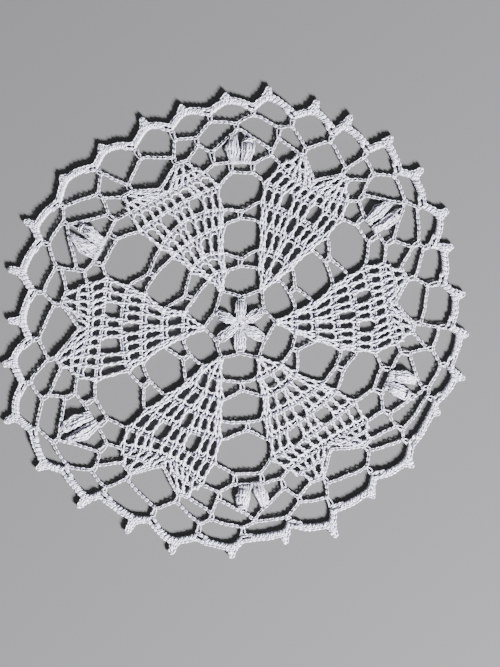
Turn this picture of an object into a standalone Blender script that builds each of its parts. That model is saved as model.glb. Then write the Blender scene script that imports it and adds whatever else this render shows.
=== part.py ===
"""Crocheted lace doily: one flat piece of white cotton thread, worked in rounds from its middle.

Six fans of mesh stand round a flower of six petals. Chain arches join the fans, a pair of leaves fills
each gap near the rim, and a border of close stitches with thirty small points runs round the edge.
The doily is one sheet with its gaps cut through. It lies flat: the underside is at z = 0 and the origin
is under the flower's centre.

Tables hold turns in degrees, counter-clockwise from +X, and reaches in mm from the centre. Fans and gaps
are numbered round the doily, and gap 0 lies between fan 0 and fan 1.
"""
import math

import bmesh
import bpy
import numpy as np
from mathutils import Vector, geometry

MM = 0.001
REPEATS = 6                    # fans, and gaps between them
ARCHES = 5                     # border arches in each repeat
NET_HEIGHT = 1.6               # mm, thickness of the chains and of the mesh
CHAIN = 1.6                    # mm, width of a chain
POST = 1.5                     # mm, width of an upright stitch in a fan
LEG = 0.9                      # mm, half the spread of the strands that tie an arch to the one inside it
BAND = 3.5                     # mm, width of the border's close stitches
PETAL_WIDTH = 4.4
HEART = 3.6                    # mm, reach at which two petals part
PETAL_SIDE = 7.5               # mm, reach at which a petal has its full width
LEAF_WIDTH = 4.6
FAN_FOOT = ((0.0, 1.4), (2.0, 2.6))     # mm past a fan's foot, and half the fan's width there
CENTRE_HEIGHT = 2.0            # mm, height of the ring where the petals meet
PETAL_HEIGHT = 2.6
LEAF_HEIGHT = 2.8
BAND_HEIGHT = 2.1
POINT_FOOT = ((-2.75, -0.4), (-1.35, 0.7), (1.35, 0.3))     # mm aside of a point's middle, past the band
POINT_TIP = ((-0.75, -1.0), (-0.22, 0.0), (0.75, -0.7))     # mm aside of a point's middle, past its tip
VALLEY = 0.5                   # degrees from a border leg to the lowest place of the rim
HALF_WAY = 0.45                # share of its rise that the band has made half way to its point
BULGE = 0.62                   # share of its rise that the band's inner side has made there
CORNER = 1.1                   # mm, cut off at each sharp corner of an opening
BLUNT = 0.64                   # cosine past which a corner is blunt and stays whole
ROUND_FROM = 12.0              # square mm, area past which an opening has its corners cut
SHARPEST = 3.5                 # longest move of a corner, in insets
SAME = 1e-6                    # mm, points closer than this are one

# Petal of each gap (turn, reach)
PETALS = ((31, 11.0), (86, 10.6), (153, 10.6), (216, 11.0), (271, 11.3), (329, 11.5))

# Fans: foot turn and reach, reach of rows 1 to 6 on the axis, notch, low side's tip, high side's tip
FANS = (
    (3.8, 14.5, (21.9, 29.6, 37.7, 45.4, 52.4, 58.1), (8, 59.4), (0, 68.9), (15, 68.9)),
    (57.6, 16.2, (22.7, 30.8, 39.3, 47.0, 54.7, 59.7), (62.5, 60.9), (55, 71.6), (69.5, 71.2)),
    (118, 15.2, (21.9, 29.3, 37.3, 45.0, 51.6, 57.8), (120.5, 59.4), (111.8, 68.1), (129.3, 67.8)),
    (186, 14.3, (21.9, 30.0, 38.1, 45.8, 53.1, 58.5), (181.5, 60.3), (172.5, 70.8), (191.5, 72.8)),
    (241, 15.0, (22.7, 30.4, 38.1, 45.8, 53.5, 58.9), (241.5, 60.2), (232.5, 72.4), (251.8, 71.6)),
    (300, 14.9, (22.3, 29.6, 37.3, 43.9, 50.8, 57.0), (306, 58.2), (297.5, 69.3), (316, 69.3)),
)

# Chain arches of rounds 2 to 6, a row a gap: turn and reach at the low fan, mid-arch, at the high fan
ROUNDS = {
    2: (
        (14, 22.3, 32, 22.7, 49, 22.7), (72, 23.1, 90, 22.3, 104, 21.2),
        (125, 20.8, 150, 20.0, 166, 21.6), (195, 22.7, 211, 22.3, 228, 21.6),
        (252, 22.3, 271, 22.3, 287, 21.9), (318, 22.3, 335, 22.3, 350, 21.9),
    ),
    3: (
        (17, 30.0, 33, 25.8, 47, 30.0), (76, 30.0, 88, 25.4, 103, 28.1),
        (133, 27.7, 152, 23.9, 168, 29.6), (197, 30.4, 211, 25.8, 227, 30.4),
        (258, 30.0, 272, 25.4, 288, 29.3), (320, 28.9, 335, 24.6, 348, 30.4),
    ),
    4: (
        (23, 39.3, 36, 40.8, 46, 40.0), (79, 40.4, 90, 40.8, 99, 38.5),
        (135, 36.6, 150, 37.7, 162, 38.5), (202, 40.4, 212, 40.8, 224, 39.7),
        (259, 38.1, 274, 37.7, 284, 37.3), (325, 39.3, 336, 40.4, 346, 40.4),
    ),
    5: (
        (24, 46.2, 36, 43.2, 45, 48.1), (80, 48.1, 89, 43.6, 98, 44.7),
        (136, 42.4, 150, 40.2, 161, 45.4), (203, 46.6, 212.5, 44.4, 222, 49.3),
        (261, 45.0, 274, 41.0, 284, 45.8), (326, 45.4, 336, 43.7, 347, 46.6),
    ),
    6: (
        (25, 53.5, 36, 58.9, 45.5, 56.6), (80, 55.4, 89, 58.5, 98.5, 53.9),
        (137, 52.7, 150, 57.4, 160.5, 54.3), (201.5, 59.7, 211, 62.4, 222.5, 58.9),
        (260, 54.3, 273, 57.4, 283, 53.5), (326.5, 53.5, 338, 57.0, 348, 53.5),
    ),
}

# Round 7, a row a gap. Its corners are where the chain leaves the fans, and each peak carries a leg.
# Corner, peak, leg top, turns of the two posts, reaches of their feet and tops, high peak, leg top, corner
SEVENTH = (
    ((23, 60.4), (28.5, 63.9), 67.8, (32.5, 40.5), (58.9, 63.6), (46, 65.8), 69.3, (48.5, 63.5)),
    ((75.5, 63.5), (79.5, 66.2), 68.5, (85, 93), (58.5, 62.4), (99, 62.4), 67.4, (103, 60.1)),
    ((135, 60.4), (140, 62.4), 66.2, (145, 156.5), (57.4, 61.2), (161, 63.1), 66.6, (165, 60.8)),
    ((198, 65.8), (202.7, 68.5), 73.2, (207, 215.5), (62.4, 67.2), (222, 68.5), 73.2, (226, 66.2)),
    ((257, 63.5), (263, 64.7), 68.1, (268, 278), (57.6, 61.6), (285, 61.2), 65.5, (288.5, 58.9)),
    ((323, 61.6), (329, 64.3), 67.4, (334, 343), (57.0, 60.8), (350, 62.8), 66.6, (353, 61.2)),
)

# Round 8, a row a gap: shoulder of the low fan, peak, turns of the two leaves, reaches of their feet and
# tops, top of the chain between them, peak, shoulder of the high fan
EIGHTH = (
    ((19.5, 65.8), (24.2, 72.8), (34.7, 39.2), (63.1, 76.2), (36.7, 78.2), (48.2, 74.3), (53, 69.7)),
    ((71, 69.7), (78.3, 73.3), (87.2, 92.5), (61.6, 73.2), (90.3, 75.8), (103, 70.8), (107.5, 66.2)),
    ((133, 66.6), (136.8, 70.8), (147.6, 153.4), (60.1, 73.2), (150.2, 76.4), (162.5, 71.6), (169, 67.8)),
    ((193.5, 70.5), (200.5, 78.2), (210, 214.9), (67, 79.3), (212.2, 83), (224.5, 76.6), (229.5, 69.7)),
    ((253.5, 69.3), (261, 73.2), (271.0, 277.0), (60.4, 70.8), (274.4, 74.3), (288.6, 69.7), (294.5, 66.6)),
    ((319, 67.0), (326.6, 71.6), (337.2, 342.3), (60.0, 71.6), (340.2, 75.1), (352.3, 72.8), (357.5, 66.6)),
)

# Border, five rows a repeat, the first over a fan's notch: turn of the leg, reach of its foot on the last
# chain round, reach of its top, turn of the arch's point, reach of the arch's inner side there, reach of
# the point's tip
BORDER = (
    (11.5, 73.5, 78.2, 20.3, 81.6, 87.8), (22.3, 76.2, 78.7, 28.8, 85.5, 91.6),
    (33, 81.2, 82.8, 40.5, 85.9, 92.8), (43.8, 82.0, 83.5, 51, 87.4, 93.2),
    (53.4, 79.7, 82.4, 62, 84.3, 91.6),
    (63.6, 78.2, 80.9, 71, 84.9, 91.6), (75.2, 78.5, 81.6, 83, 86.2, 92.4),
    (86.2, 80.5, 82.4, 93.5, 84.3, 89.7), (98, 78.5, 81.2, 105, 82.4, 87.8),
    (109.3, 74.7, 78.9, 115.5, 82.0, 88.4),
    (120.7, 73.9, 78.5, 128, 82.8, 88.2), (132.5, 78.2, 80.9, 140.5, 85.1, 90.1),
    (146, 80.9, 82.8, 154.3, 85.1, 92.0), (157.2, 79.3, 82.0, 166.5, 83.9, 91.6),
    (170.7, 76.2, 79.3, 179, 81.6, 89.3),
    (184, 77.0, 79.7, 189.5, 86.2, 92.8), (195.3, 83.2, 85.1, 202.5, 90.9, 98.0),
    (207, 87.0, 88.2, 215.5, 90.1, 96.2), (219.5, 85.5, 86.6, 228.5, 87.0, 94.1),
    (230.6, 80.9, 83.2, 241.5, 83.2, 91.6),
    (245.3, 77.4, 81.2, 253.3, 85.1, 92.4), (258.5, 77.8, 82.0, 268, 83.9, 90.1),
    (270.7, 77.8, 81.2, 282, 80.1, 86.6), (284, 75.8, 77.6, 294.5, 82.4, 90.1),
    (296.7, 74.3, 78.5, 307.8, 79.3, 84.7),
    (311.5, 73.2, 76.6, 320.7, 81.0, 86.6), (324.8, 76.6, 79.3, 336, 79.5, 84.7),
    (338.7, 77.0, 79.7, 346.5, 83.2, 89.3), (348.7, 78.5, 80.9, 357.5, 82.6, 88.2),
    (359.2, 76.2, 79.7, 367.7, 81.6, 87.8),
)

# Upright stitches of fan rows 2 to 6, as shares of the row's width, and those with a cut gap after them
STITCHES = {
    2: (0.03, 0.20, 0.52, 0.80, 0.97),
    3: (0.02, 0.10, 0.27, 0.45, 0.56, 0.71, 0.87, 0.97),
    4: (0.02, 0.085, 0.18, 0.295, 0.41, 0.565, 0.67, 0.80, 0.91, 0.98),
    5: (0.02, 0.13, 0.235, 0.41, 0.50, 0.60, 0.77, 0.87, 0.98),
    6: (0.0, 0.1, 0.2, 0.3, 0.4, 0.5, 0.6, 0.7, 0.8, 0.9, 1.0),
}
CUT_AFTER = {2: (1, 2), 3: (1, 2, 4, 5), 4: range(1, 8), 5: range(8), 6: (1, 3, 6, 8)}


def at(turn, reach):
    """Point at a turn and a reach: (reach cos turn, reach sin turn)."""
    angle = math.radians(turn)
    return np.array((reach * math.cos(angle), reach * math.sin(angle)))


def beside(turn, reach, aside):
    """Point at a reach along the ray at turn, moved aside at a right angle to it, towards higher turns."""
    return at(turn, reach) + aside * at(turn + 90, 1.0)


def ends(number, gap):
    """Start, middle and end of a chain arch of rounds 2 to 6."""
    row = ROUNDS[number][gap % REPEATS]
    return at(*row[0:2]), at(*row[2:4]), at(*row[4:6])


def area(loop):
    """Area of a loop, positive when it runs counter-clockwise."""
    after = np.roll(loop, -1, axis=0)
    return 0.5 * np.sum(loop[:, 0] * after[:, 1] - after[:, 0] * loop[:, 1])


def inset(loop, distance):
    """Loop moved inward: corner + distance (n1 + n2) / (1 + n1.n2), n being its sides' inward normals."""
    points = np.array(loop)
    if area(points) < 0:
        points = points[::-1]
    side = np.roll(points, -1, axis=0) - points
    side /= np.linalg.norm(side, axis=1)[:, None]
    normal = np.column_stack((-side[:, 1], side[:, 0]))
    before = np.roll(normal, 1, axis=0)
    move = (normal + before) / (1.0 + np.sum(normal * before, axis=1))[:, None]
    length = np.linalg.norm(move, axis=1)[:, None]
    return points + distance * move * np.minimum(1.0, SHARPEST / length)


def rounded(loop):
    """Loop with each sharp corner cut off, by CORNER or by a third of the shorter of its two sides."""
    points = []
    for here, before, after in zip(loop, np.roll(loop, 1, axis=0), np.roll(loop, -1, axis=0)):
        back, forward = before - here, after - here
        lengths = np.linalg.norm(back), np.linalg.norm(forward)
        if back @ forward < -BLUNT * lengths[0] * lengths[1]:
            points.append(here)
        else:
            cut = min(CORNER, min(lengths) / 3)
            points += [here + back * cut / lengths[0], here + forward * cut / lengths[1]]
    return np.array(points)


def opening(loop, width=CHAIN):
    """Gap left inside a loop of cord middles, when each cord has this width."""
    gap = inset(loop, width / 2)
    return rounded(gap) if area(gap) > ROUND_FROM else gap


def flower_openings(gap):
    """The gap between two petals, and the wide one under round 2's arch."""
    turn, reach = PETALS[gap]
    next_turn, next_reach = PETALS[(gap + 1) % REPEATS]
    next_turn += 360 * (gap + 1 == REPEATS)
    low_turn, low_reach = FANS[gap][0:2]
    foot_turn, foot_reach = FANS[(gap + 1) % REPEATS][0:2]
    wall = (PETAL_WIDTH - CHAIN) / 2
    between = (at((turn + next_turn) / 2, HEART), beside(next_turn, PETAL_SIDE, -wall),
               beside(next_turn, next_reach, -wall), at(foot_turn, foot_reach - CHAIN / 2),
               beside(turn, reach, wall), beside(turn, PETAL_SIDE, wall))
    side = [beside(low_turn, low_reach + past, aside) for past, aside in FAN_FOOT]
    next_side = [beside(foot_turn, foot_reach + past, -aside) for past, aside in reversed(FAN_FOOT)]
    under = (*ends(2, gap), *next_side, at(turn, reach), *side)
    return [opening(between), opening(under)]


def net_openings(gap):
    """Gaps between rounds 2 and 6: a pair beside each tied arch, and one wide one past it."""
    gaps = []
    for inner, tied, outer in ((2, 3, 4), (4, 5, 6)):
        low, foot, high = ends(inner, gap)
        start, joint, end = ends(tied, gap)
        turn, reach = ROUNDS[tied][gap][2:4]
        left, right = beside(turn, reach, -LEG), beside(turn, reach, LEG)
        gaps.append(opening((low, foot, left, start)))
        gaps.append(opening((foot, high, end, right)))
        far_start, far_middle, far_end = ends(outer, gap)
        far = post_feet(gap) if outer == 6 else (far_middle,)
        gaps.append(opening((start, left, right, end, far_end, *reversed(far), far_start)))
    return gaps


def post_feet(gap):
    """Feet on round 6 of the two posts that carry the leaves."""
    turns, reaches = SEVENTH[gap][3:5]
    return tuple(at(turn, reaches[0]) for turn in turns)


def post_tops(gap):
    """Tops of the two posts that carry the leaves."""
    turns, reaches = SEVENTH[gap][3:5]
    return tuple(at(turn, reaches[1]) for turn in turns)


def leaf_openings(gap):
    """Gaps round the leaves: between rounds 6 and 7, and between rounds 7 and 8."""
    corner, peak, leg, _, _, high_peak, high_leg, high_corner = SEVENTH[gap]
    shoulder, crest, leaves, (leaf_foot, leaf_top), _, high_crest, high_shoulder = EIGHTH[gap]
    low, _, high = ends(6, gap)
    feet, tops = post_feet(gap), post_tops(gap)
    wall = (LEAF_WIDTH - CHAIN) / 2
    middle = (leaf_foot + leaf_top) / 2
    tied, high_tied = at(peak[0], leg), at(high_peak[0], high_leg)
    gaps = [(low, feet[0], tops[0], at(*peak), at(*corner)),
            (feet[0], feet[1], tops[1], tops[0]),
            (feet[1], high, at(*high_corner), at(*high_peak), tops[1]),
            (at(*corner), at(*peak), tied, at(*crest), at(*shoulder)),
            (at(*high_corner), at(*high_peak), high_tied, at(*high_crest), at(*high_shoulder)),
            (at(*peak), tops[0], beside(leaves[0], middle, -wall), at(leaves[0], leaf_top), tied),
            (at(*high_peak), tops[1], beside(leaves[1], middle, wall), at(leaves[1], leaf_top), high_tied)]
    return [opening(loop) for loop in gaps]


def border_leg(number):
    """Foot and top of a leg that ties the border to the last chain round."""
    turn, foot, top = BORDER[number % (REPEATS * ARCHES)][0:3]
    return at(turn, foot), at(turn, top)


def last_round_openings(gap):
    """Gaps between rounds 8 and 9: four over a gap's leaves and one over the next fan's notch."""
    peak, leg, high_peak, high_leg = (SEVENTH[gap][index] for index in (1, 2, 5, 6))
    shoulder, crest, leaves, (_, leaf_top), crown, high_crest, high_shoulder = EIGHTH[gap]
    notch, low_tip, high_tip = FANS[(gap + 1) % REPEATS][3:6]
    arch = [border_leg(gap * ARCHES + step)[0] for step in range(1, 6)]
    gaps = ((at(*FANS[gap][5]), arch[0], at(*crest), at(*shoulder)),
            (at(*crest), arch[1], at(*crown), at(leaves[0], leaf_top), at(peak[0], leg)),
            (at(*crown), arch[2], at(*high_crest), at(high_peak[0], high_leg), at(leaves[1], leaf_top)),
            (at(*high_crest), arch[3], at(*low_tip), at(*high_shoulder)),
            (at(*low_tip), arch[4], at(*high_tip), at(*notch)))
    return [opening(loop) for loop in gaps]


def border_openings(gap):
    """Gaps inside the five border arches of a repeat."""
    crest, crown, high_crest = (at(*EIGHTH[gap][index]) for index in (1, 4, 5))
    ties = (at(*FANS[gap][5]), crest, crown, high_crest, at(*FANS[(gap + 1) % REPEATS][4]))
    gaps = []
    for step, tie in enumerate(ties):
        number = gap * ARCHES + step
        turn, _, top, point_turn, inner, _ = BORDER[number]
        foot, leg = border_leg(number)
        next_foot, next_leg = border_leg(number + 1)
        crest = at(point_turn - VALLEY, inner + CHAIN / 2)
        slope = at(turn + HALF_WAY * (point_turn - turn), top + BULGE * (inner - top) + CHAIN / 2)
        gaps.append(opening((foot, tie, next_foot, next_leg, crest, slope, leg)))
    return gaps


def row_line(fan, row, share):
    """Point on top of a fan's row: even in turn, its reach a quadratic through both ends and the axis."""
    if row == 6:
        low, high = SEVENTH[fan - 1][7], SEVENTH[fan][0]
    else:
        low, high = ROUNDS[row + 1][fan - 1][4:6], ROUNDS[row + 1][fan][0:2]
    low_turn = low[0] - 360 * (low[0] > high[0])
    axis = FANS[fan][2][row - 1]
    weights = (1 - share) * (1 - 2 * share), 4 * share * (1 - share), share * (2 * share - 1)
    reach = weights[0] * low[1] + weights[1] * axis + weights[2] * high[1]
    return at(low_turn + (high[0] - low_turn) * share, reach)


def fan_openings(fan):
    """Gaps between the upright stitches of a fan."""
    gaps = []
    for row, shares in STITCHES.items():
        for index in CUT_AFTER[row]:
            left, right = shares[index:index + 2]
            loop = (row_line(fan, row - 1, left), row_line(fan, row - 1, right),
                    row_line(fan, row, right), row_line(fan, row, left))
            gaps.append(opening(loop, POST))
    return gaps


def rim():
    """Outer edge: each border arch rises to its point and drops to the next leg."""
    points = []
    for turn, _, top, point_turn, inner, point in BORDER:
        crest = inner + BAND
        valley = top + BAND
        rise, shoulder, drop = (beside(point_turn, crest + past, aside) for aside, past in POINT_FOOT)
        slope = at((turn + point_turn) / 2, valley + HALF_WAY * (crest - valley))
        tip = [beside(point_turn, point + past, aside) for aside, past in POINT_TIP]
        points += [at(turn + VALLEY, valley), slope, rise, shoulder, *tip, drop]
    return np.array(points)


def raised_points():
    """Ridges of the petals, the leaves and the border, as rows of x, y and height."""
    rows = [(0.0, 0.0, CENTRE_HEIGHT)]
    for turn, reach in PETALS:
        rows += [(*at(turn, share * reach), PETAL_HEIGHT) for share in (0.42, 0.78)]
    for row in EIGHTH:
        foot, top = row[3]
        for turn in row[2]:
            rows += [(*at(turn, foot + share * (top - foot)), LEAF_HEIGHT) for share in (0.25, 0.55, 0.8)]
    for turn, _, top, point_turn, inner, _ in BORDER:
        for share in (0.0, 0.5, 1.0):
            reach = top + share * (inner - top) + BAND / 2
            rows.append((*at(turn + share * (point_turn - turn), reach), BAND_HEIGHT))
    return np.array(rows)


def inside(points, loop):
    """Whether each point lies in a loop: an odd number of its sides is crossed by a ray along +X."""
    x, y = points[:, 0:1], points[:, 1:2]
    start, end = loop, np.roll(loop, -1, axis=0)
    crosses = (start[:, 1] > y) != (end[:, 1] > y)
    rise = end[:, 1] - start[:, 1]
    rise[rise == 0] = 1.0
    at_x = start[:, 0] + (y - start[:, 1]) / rise * (end[:, 0] - start[:, 0])
    return np.sum(crosses & (x < at_x), axis=1) % 2 == 1


def openings():
    """All gaps cut through the doily."""
    gaps = []
    for gap in range(REPEATS):
        gaps += flower_openings(gap) + net_openings(gap) + leaf_openings(gap)
        gaps += last_round_openings(gap) + border_openings(gap) + fan_openings(gap)
    return gaps


def sheet_faces(loops, ridges):
    """Points and triangles of the flat sheet inside the first loop and outside the others."""
    points = np.concatenate(loops + [ridges[:, 0:2]])
    sides, first = [], 0
    for loop in loops:
        count = len(loop)
        sides += [(first + index, first + (index + 1) % count) for index in range(count)]
        first += count
    corners = [Vector(point) for point in points]
    flat, _, faces, *_ = geometry.delaunay_2d_cdt(corners, sides, [], 0, SAME)
    flat = np.array(flat)
    faces = np.array(faces)
    middles = flat[faces].mean(axis=1)
    keep = inside(middles, loops[0])
    for loop in loops[1:]:
        keep &= ~inside(middles, loop)
    return flat, faces[keep]


def doily_mesh():
    """The sheet's triangles at the top and the bottom, joined by a wall along every edge."""
    loops = [rim()] + openings()
    ridges = raised_points()
    flat, faces = sheet_faces(loops, ridges)
    height = np.full(len(flat), NET_HEIGHT)
    height[len(flat) - len(ridges):] = ridges[:, 2]
    mesh = bpy.data.meshes.new("doily")
    shape = bmesh.new()
    top = [shape.verts.new((x * MM, y * MM, z * MM)) for (x, y), z in zip(flat, height)]
    base = [shape.verts.new((x * MM, y * MM, 0.0)) for x, y in flat]
    for a, b, c in faces:
        shape.faces.new((top[a], top[b], top[c]))
        shape.faces.new((base[c], base[b], base[a]))
    shape.edges.ensure_lookup_table()
    rank = {vert: index for index, vert in enumerate(top)}
    for edge in [edge for edge in shape.edges if edge.is_boundary and edge.verts[0] in rank]:
        start, end = (rank[vert] for vert in edge.verts)
        shape.faces.new((top[start], top[end], base[end], base[start]))
    bmesh.ops.delete(shape, geom=[vert for vert in shape.verts if not vert.link_faces], context="VERTS")
    bmesh.ops.recalc_face_normals(shape, faces=shape.faces)
    shape.to_mesh(mesh)
    shape.free()
    return mesh


def cotton():
    """White cotton thread."""
    material = bpy.data.materials.new("cotton_thread")
    material.use_nodes = True
    shader = material.node_tree.nodes["Principled BSDF"]
    shader.inputs["Base Color"].default_value = (0.87, 0.87, 0.88, 1.0)
    shader.inputs["Roughness"].default_value = 0.7
    shader.inputs["Metallic"].default_value = 0.0
    return material


def build():
    """Clear the scene and add the doily."""
    for old in list(bpy.data.objects):
        bpy.data.objects.remove(old, do_unlink=True)
    doily = bpy.data.objects.new("doily", doily_mesh())
    doily.data.materials.append(cotton())
    bpy.context.scene.collection.objects.link(doily)


build()
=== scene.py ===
"""Crocheted lace doily, stitch by stitch: every chain, post, cluster and close stitch is a cotton thread.

The sections follow the work from the middle outwards: flower, fans, leaves, net and border, then the room.
Lengths are mm until a mesh is made. Turns are degrees, counter-clockwise from +X, and reaches are mm from
the doily's centre. Fans and gaps are numbered round the doily, and gap 0 lies between fan 0 and fan 1.
"""
import math

import bpy
import numpy as np
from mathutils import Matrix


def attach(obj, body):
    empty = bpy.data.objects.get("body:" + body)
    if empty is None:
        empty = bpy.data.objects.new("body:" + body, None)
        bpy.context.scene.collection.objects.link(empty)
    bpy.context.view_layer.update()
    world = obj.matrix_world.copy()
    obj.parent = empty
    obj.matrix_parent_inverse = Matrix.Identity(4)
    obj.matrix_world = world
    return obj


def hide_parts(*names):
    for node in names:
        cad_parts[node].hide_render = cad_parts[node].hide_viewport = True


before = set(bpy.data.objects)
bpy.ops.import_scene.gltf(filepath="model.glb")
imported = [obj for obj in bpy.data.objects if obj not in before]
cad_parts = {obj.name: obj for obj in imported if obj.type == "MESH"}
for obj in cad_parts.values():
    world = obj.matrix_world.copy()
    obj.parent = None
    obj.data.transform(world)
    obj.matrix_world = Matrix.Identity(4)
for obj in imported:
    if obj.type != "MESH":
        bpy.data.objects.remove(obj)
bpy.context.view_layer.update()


# Flower. Six petals, each a cluster of long stitches drawn together at both ends, stand on a closed ring of
# white cotton thread. A round of chain stitches runs over their tops and peaks at the feet of the fans.

MM = 0.001
REPEATS = 6
THREAD = 0.55              # mm, thickness of the cotton thread
SIDES = 5                  # sides of a thread's mesh
PLY = 1.7                  # mm of thread in which its plies make one turn
LAYER = 0.8                # mm, height of the middle of a flat cord
LOWEST = 0.34              # mm, height of the middle of a thread that lies on the table
CHAIN_PITCH = 2.1          # mm, length of a chain stitch
OVERRUN = 4.0              # mm that a line can be carried straight on past its ends
CHAIN_STEPS = 12           # steps of a chain stitch's mesh
STRAND_STEPS = 12          # steps of a long stitch's strand
FULL_STITCH = 7.0          # mm, shortest long stitch with a full-sized foot and head
WANDER = 0.14              # mm that a chain strays from its line
WRAP = (1.9, 0.42, 0.36)   # mm, half the length, width and height of a wrap round a long stitch
PLIES = 3.0                # plies of the thread
RIDGE = 0.14               # mm, height of the ridges that the plies make
FLANK_SHADE = 0.4                # share of the greys by which a thread's flanks are painted darker than its top: painted shade
UNEVEN = 0.3               # share of the greys that changes over the doily
GROOVE_SHADE_AND_FIBRE = 0.25              # share of the greys that follows the plies and fibres: painted shade in the ply grooves and the fibres' own streaks

# Petal of each gap: turn, reach, width
PETALS = (
    (31, 11.0, 4.6), (86, 10.6, 4.8), (153, 10.6, 4.3), (216, 11.0, 4.6), (271, 11.3, 5.2), (329, 11.5, 4.8),
)
STRANDS = (-1.0, -0.5, 0.0, 0.5, 1.0)
PETAL_INSET = 1.2          # mm by which a petal's outer stitches lie closer together than it is wide
PETAL_SHADE_CROWN = 2.3          # mm, height at which the petals are whitest; lower threads get painted shade
FLARE = 1.4                # mm aside, where the outer strands of a petal meet the chain over it
RING_REACH = 1.05          # mm, middle of the ring that the petals stand on
EYELET = 1.3               # mm, from a cluster's top to the chain over it
FOOT_EYELET = 0.4          # mm, from that chain's peaks to the fans' feet

# Fans: foot turn and reach, reach of rows 1 to 6 on the axis, notch, low side's tip, high side's tip
FANS = (
    (3.8, 14.5, (21.9, 29.6, 37.7, 45.4, 52.4, 58.1), (8, 60.2), (0.2, 69.7), (14.8, 69.5)),
    (57.6, 16.2, (22.7, 30.8, 39.3, 47.0, 54.7, 59.7), (62.5, 62.2), (55.6, 72.5), (69.2, 72.2)),
    (118, 15.2, (21.9, 29.3, 37.3, 45.0, 51.6, 57.8), (120.5, 60.2), (111.6, 68.8), (128.7, 68.4)),
    (186, 14.3, (21.9, 30.0, 38.1, 45.8, 53.1, 58.5), (181.5, 61.4), (173.6, 71.5), (190.2, 74.7)),
    (241, 15.0, (22.7, 30.4, 38.1, 45.8, 53.5, 58.9), (241.5, 61.8), (233.7, 73.6), (250.2, 72.2)),
    (300, 14.9, (22.3, 29.6, 37.3, 43.9, 50.8, 57.0), (306, 59.4), (298.7, 69.7), (315.6, 69.5)),
)

# One chain stitch: share of its length, mm aside of the line, mm up to the thread's middle. It comes up
# through the stitch before it, loops over the front, closes behind the next one and runs on along the back.
CHAIN_STITCH = np.array((
    (0.00, -0.13, 0.60), (0.42, -0.56, 1.14), (0.92, -0.45, 0.92), (1.20, 0.00, 0.46),
    (0.92, 0.45, 0.92), (0.42, 0.56, 1.14), (0.00, 0.13, 0.60), (0.45, 0.36, 0.34),
))

# The two strands of a long stitch: share of its length, mm on from there, mm aside of its middle (the other
# strand's side is swapped), mm above its middle, and the same for the other strand. They come out from under
# the stitch below, pass over it, twist about each other and part again under the head.
LONG_STITCH = np.array((
    (0.00, -1.00, 0.20, -0.55, -0.55), (0.00, -0.65, 0.34, -0.20, -0.20), (0.00, 0.05, 0.41, 0.60, 0.60),
    (0.00, 0.95, 0.40, 0.24, 0.10), (0.30, 0.20, 0.04, 0.36, -0.34), (0.45, 0.00, -0.37, 0.04, 0.04),
    (0.60, -0.40, -0.04, -0.32, 0.36), (1.00, -2.60, 0.30, 0.05, 0.10), (1.00, -1.30, 0.58, 0.08, 0.12),
    (1.00, -0.15, 0.60, -0.20, -0.20), (1.00, 0.50, 0.35, -0.45, -0.45),
))

rng = np.random.default_rng(5)


def at(turn, reach):
    """Point at a turn and a reach: (reach cos turn, reach sin turn)."""
    angle = math.radians(turn)
    return np.array((reach * math.cos(angle), reach * math.sin(angle)))


def beside(turn, reach, aside):
    """Point at a reach along the ray at turn, moved aside at a right angle to it, towards higher turns."""
    return at(turn, reach) + aside * at(turn + 90, 1.0)


def smooth(points, count):
    """Curve from the second point to the last but one, in even steps: between b and c it is
    b + t (c - a) / 2 + t^2 (2 a - 5 b + 4 c - d) / 2 + t^3 (3 b - a - 3 c + d) / 2."""
    spans = points.shape[-2] - 3
    place = np.linspace(0, spans, count + 1)
    first = np.minimum(place.astype(int), spans - 1)
    t = (place - first)[:, None]
    a, b, c, d = (points[..., first + step, :] for step in range(4))
    return b + t * (c - a) / 2 + t**2 * (2 * a - 5 * b + 4 * c - d) / 2 + t**3 * (3 * b - a - 3 * c + d) / 2


def line(*points):
    """Smooth line through points, with each end mirrored to guide it."""
    points = np.array(points)
    points = np.vstack((2 * points[0] - points[1], points, 2 * points[-1] - points[-2]))
    return smooth(points, 10 * (len(points) - 3))


def length(path):
    """Length of a flat line."""
    return np.sum(np.linalg.norm(np.diff(path, axis=0), axis=1))


def lay(path, along, aside, height):
    """Points beside a flat line: its point at `along` mm, plus aside times its left normal, at a height."""
    ahead = path[1] - path[0], path[-1] - path[-2]
    first = path[0] - OVERRUN * ahead[0] / np.linalg.norm(ahead[0])
    last = path[-1] + OVERRUN * ahead[1] / np.linalg.norm(ahead[1])
    path = np.vstack((first, path, last))
    reach = np.concatenate(([0.0], np.cumsum(np.linalg.norm(np.diff(path, axis=0), axis=1)))) - OVERRUN
    slope = np.gradient(path, reach, axis=0)
    x, y, right, ahead = (np.interp(along, reach, row) for row in (*path.T, slope[:, 1], slope[:, 0]))
    size = np.hypot(right, ahead)
    height = np.maximum(height, LOWEST)
    return np.stack(np.broadcast_arrays(x - aside * right / size, y + aside * ahead / size, height), axis=-1)


def chain(path, pitch=CHAIN_PITCH, width=0.76, up=0.0, roll=22.0):
    """Chain stitches along a flat line: the points of one stitch, repeated at the pitch and rolled by a
    few degrees about the line. The width and the place aside change a little from stitch to stitch."""
    whole = length(path)
    count = max(1, round(whole / pitch))
    before, after = CHAIN_STITCH[-1:] - (1, 0, 0), CHAIN_STITCH[:2] + (1, 0, 0)
    share, aside, height = np.vstack((before, CHAIN_STITCH, after)).T
    start = np.arange(count)[:, None]
    place = (start + share) / count
    lean = np.radians(roll) * np.sin(rng.uniform(0, 2 * np.pi) + rng.uniform(0.5, 1.1) * (start + share))
    aside = aside * width * rng.uniform(0.88, 1.1, (count, 1))
    height = height - LAYER
    aside, height = aside * np.cos(lean) - height * np.sin(lean), aside * np.sin(lean) + height * np.cos(lean)
    stray = WANDER * np.sin(rng.uniform(0, 2 * np.pi) + rng.uniform(0.5, 0.9) * whole * place)
    stray = stray * np.sin(np.pi * np.clip(place, 0, 1))
    return smooth(lay(path, place * whole, aside + stray, height + LAYER + up), CHAIN_STEPS)


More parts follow.
